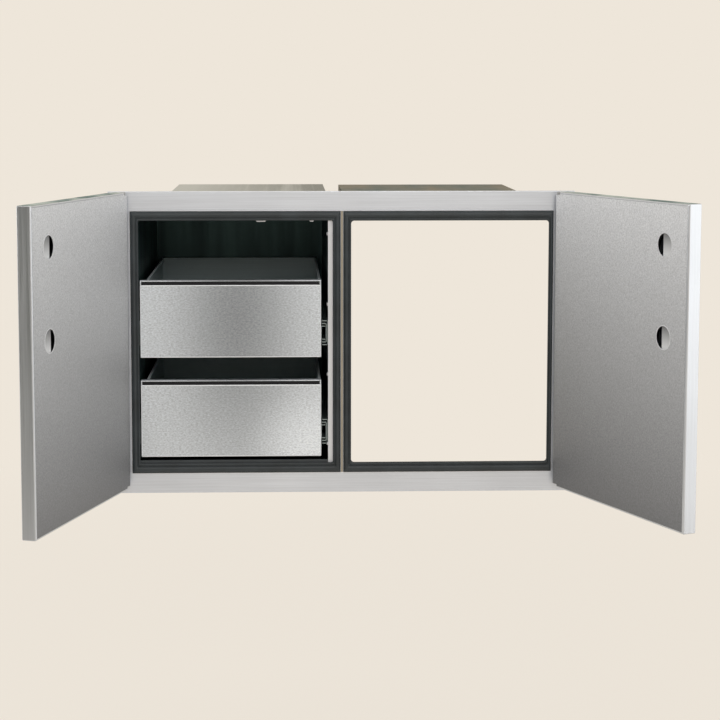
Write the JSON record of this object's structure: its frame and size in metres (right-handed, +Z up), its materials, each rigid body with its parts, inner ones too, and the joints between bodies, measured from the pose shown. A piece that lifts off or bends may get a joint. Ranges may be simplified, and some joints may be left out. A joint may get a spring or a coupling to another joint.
{
  "type": "outdoor kitchen door and drawer combo",
  "caption": "Built-in stainless outdoor kitchen unit: sealed dry pantry with inner drawers beside an open access bay, each behind a hinged double-walled door.",
  "frame": {"origin": "centre of the front frame on its rear seat, the plane that lies on the island's face", "axes": "+X to the right seen from the front, +Y back into the island, +Z up"},
  "size_m": [1.095, 0.9101, 0.548],
  "materials": {
    "frame_steel": "horizontally brushed stainless",
    "door_skin": "vertically brushed stainless",
    "door_liner": "fine satin stainless",
    "drawer_steel": "satin stainless",
    "box_steel": "mill-finish stainless, dark inside the pantry",
    "tub_steel": "satin stainless of the drawer tubs",
    "strip_steel": "bright satin stainless",
    "roof_steel": "dark galvanised sheet",
    "handle_steel": "polished stainless",
    "hinge_steel": "bright stainless",
    "slide_steel": "zinc-bright slide steel",
    "seal_rubber": "satin black ridged seal",
    "magnet": "black flexible magnet strip",
    "black_trim": "matt black strip",
    "lever_plastic": "matt black moulding",
    "cage_steel": "bright retainer strip and balls"
  },
  "bodies": {
    "cabinet": {"front_frame": "frame_steel", "left_gasket": "seal_rubber", "right_gasket": "seal_rubber", "gasket_magnets": "magnet", "bay_roof": "roof_steel", "pantry_left_wall": "box_steel", "pantry_right_wall": "box_steel", "pantry_top": "box_steel", "pantry_floor": "box_steel", "pantry_back": "box_steel", "mullion_angle": "strip_steel", "mullion_rivets": "hinge_steel", "hinge_screws": "hinge_steel", "hinge_washers": "hinge_steel", "slide_screws": "slide_steel", "left_upper_hinge_arm": "hinge_steel", "upper_left_slide_outer": "slide_steel", "left_lower_hinge_arm": "hinge_steel", "lower_left_slide_outer": "slide_steel", "right_upper_hinge_arm": "hinge_steel", "upper_right_slide_outer": "slide_steel", "right_lower_hinge_arm": "hinge_steel", "lower_right_slide_outer": "slide_steel"},
    "left_door": {"left_door_skin": "door_skin", "left_door_liner": "door_liner", "left_door_stiffener": "strip_steel", "left_door_handle": "handle_steel", "left_handle_screws": "hinge_steel", "left_hinge_blocks": "hinge_steel", "left_hinge_pins": "hinge_steel"},
    "right_door": {"right_door_skin": "door_skin", "right_door_liner": "door_liner", "right_door_stiffener": "strip_steel", "right_door_handle": "handle_steel", "right_handle_screws": "hinge_steel", "right_hinge_blocks": "hinge_steel", "right_hinge_pins": "hinge_steel"},
    "upper_drawer": {"upper_drawer_front": "drawer_steel", "upper_drawer_trim": "black_trim", "upper_drawer_tub": "tub_steel", "upper_drawer_rivets": "hinge_steel", "upper_left_slide_inner": "slide_steel", "upper_right_slide_inner": "slide_steel"},
    "upper_slide_middles": {"upper_left_slide_middle": "slide_steel", "upper_right_slide_middle": "slide_steel", "upper_ball_cages": "cage_steel"},
    "upper_left_lever": {"upper_left_release_lever": "lever_plastic"},
    "upper_right_lever": {"upper_right_release_lever": "lever_plastic"},
    "lower_drawer": {"lower_drawer_front": "drawer_steel", "lower_drawer_trim": "black_trim", "lower_drawer_tub": "tub_steel", "lower_drawer_rivets": "hinge_steel", "lower_left_slide_inner": "slide_steel", "lower_right_slide_inner": "slide_steel"},
    "lower_slide_middles": {"lower_left_slide_middle": "slide_steel", "lower_right_slide_middle": "slide_steel", "lower_ball_cages": "cage_steel"},
    "lower_left_lever": {"lower_left_release_lever": "lever_plastic"},
    "lower_right_lever": {"lower_right_release_lever": "lever_plastic"}
  },
  "joints": [
    {"name": "left_door_hinge", "type": "hinge", "parent": "cabinet", "child": "left_door", "pos_m": [-0.397, -0.0295, 0], "axis": [0, 0, -1], "range_deg": [-107, 10]},
    {"name": "right_door_hinge", "type": "hinge", "parent": "cabinet", "child": "right_door", "pos_m": [0.397, -0.0295, 0], "axis": [0, 0, 1], "range_deg": [-113, 4]},
    {"name": "upper_drawer_slide", "type": "slide", "parent": "cabinet", "child": "upper_drawer", "axis": [0, -1, 0], "range_m": [0, 0.4]},
    {"name": "upper_middle_slide", "type": "slide", "parent": "cabinet", "child": "upper_slide_middles", "axis": [0, -1, 0], "range_m": [0, 0.2]},
    {"name": "upper_left_lever_pivot", "type": "hinge", "parent": "upper_drawer", "child": "upper_left_lever", "pos_m": [-0.3599, 0.2334, 0.016], "axis": [1, 0, 0], "range_deg": [-8, 8], "stiffness_Nm_per_rad": 0.02},
    {"name": "upper_right_lever_pivot", "type": "hinge", "parent": "upper_drawer", "child": "upper_right_lever", "pos_m": [-0.0321, 0.2334, 0.016], "axis": [1, 0, 0], "range_deg": [-8, 8], "stiffness_Nm_per_rad": 0.02},
    {"name": "lower_drawer_slide", "type": "slide", "parent": "cabinet", "child": "lower_drawer", "axis": [0, -1, 0], "range_m": [0, 0.4]},
    {"name": "lower_middle_slide", "type": "slide", "parent": "cabinet", "child": "lower_slide_middles", "axis": [0, -1, 0], "range_m": [0, 0.2]},
    {"name": "lower_left_lever_pivot", "type": "hinge", "parent": "lower_drawer", "child": "lower_left_lever", "pos_m": [-0.3599, 0.2334, -0.1655], "axis": [1, 0, 0], "range_deg": [-8, 8], "stiffness_Nm_per_rad": 0.02},
    {"name": "lower_right_lever_pivot", "type": "hinge", "parent": "lower_drawer", "child": "lower_right_lever", "pos_m": [-0.0321, 0.2334, -0.1655], "axis": [1, 0, 0], "range_deg": [-8, 8], "stiffness_Nm_per_rad": 0.02}
  ],
  "couplings": [
    {"joint": "upper_middle_slide", "follows": "upper_drawer_slide", "ratio": 0.5},
    {"joint": "lower_middle_slide", "follows": "lower_drawer_slide", "ratio": 0.5}
  ]
}
